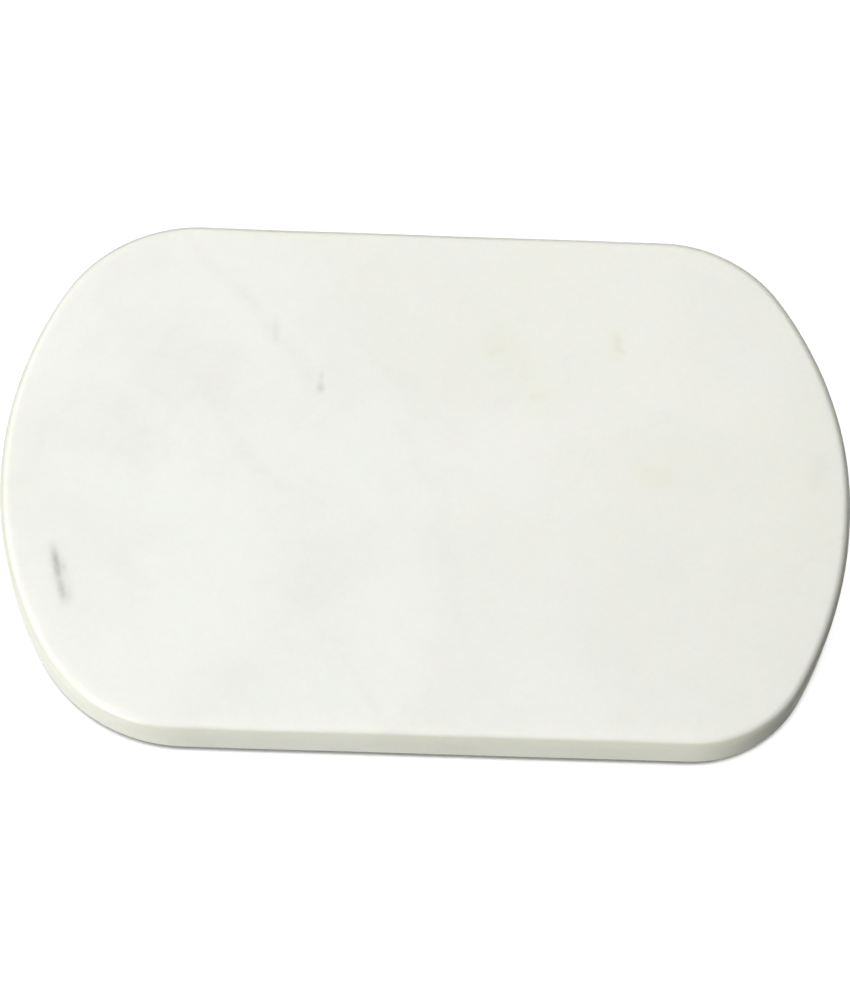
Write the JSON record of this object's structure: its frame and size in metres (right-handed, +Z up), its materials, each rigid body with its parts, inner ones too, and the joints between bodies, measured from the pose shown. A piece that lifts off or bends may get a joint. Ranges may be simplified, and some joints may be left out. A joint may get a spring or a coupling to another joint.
{
  "type": "chopping board",
  "caption": "Rounded oblong white marble chopping board with softly bowed ends, lifted off the worktop by small clear bumper feet.",
  "frame": {"origin": "on the worktop, under the middle of the board's overall length and width", "axes": "+X along the board towards its tighter-cornered end, +Y across the board towards its back long side, +Z up"},
  "size_m": [0.3, 0.2, 0.0179],
  "materials": {
    "marble": "honed satin",
    "clear_rubber": "clear satin elastomer",
    "adhesive": "pressure-sensitive adhesive film"
  },
  "bodies": {
    "root": {"marble_slab": "marble", "bumper_foot_front_left": "clear_rubber", "bumper_foot_front_right": "clear_rubber", "bumper_foot_back_left": "clear_rubber", "bumper_foot_back_right": "clear_rubber", "adhesive_disc_front_left": "adhesive", "adhesive_disc_front_right": "adhesive", "adhesive_disc_back_left": "adhesive", "adhesive_disc_back_right": "adhesive"}
  },
  "joints": []
}
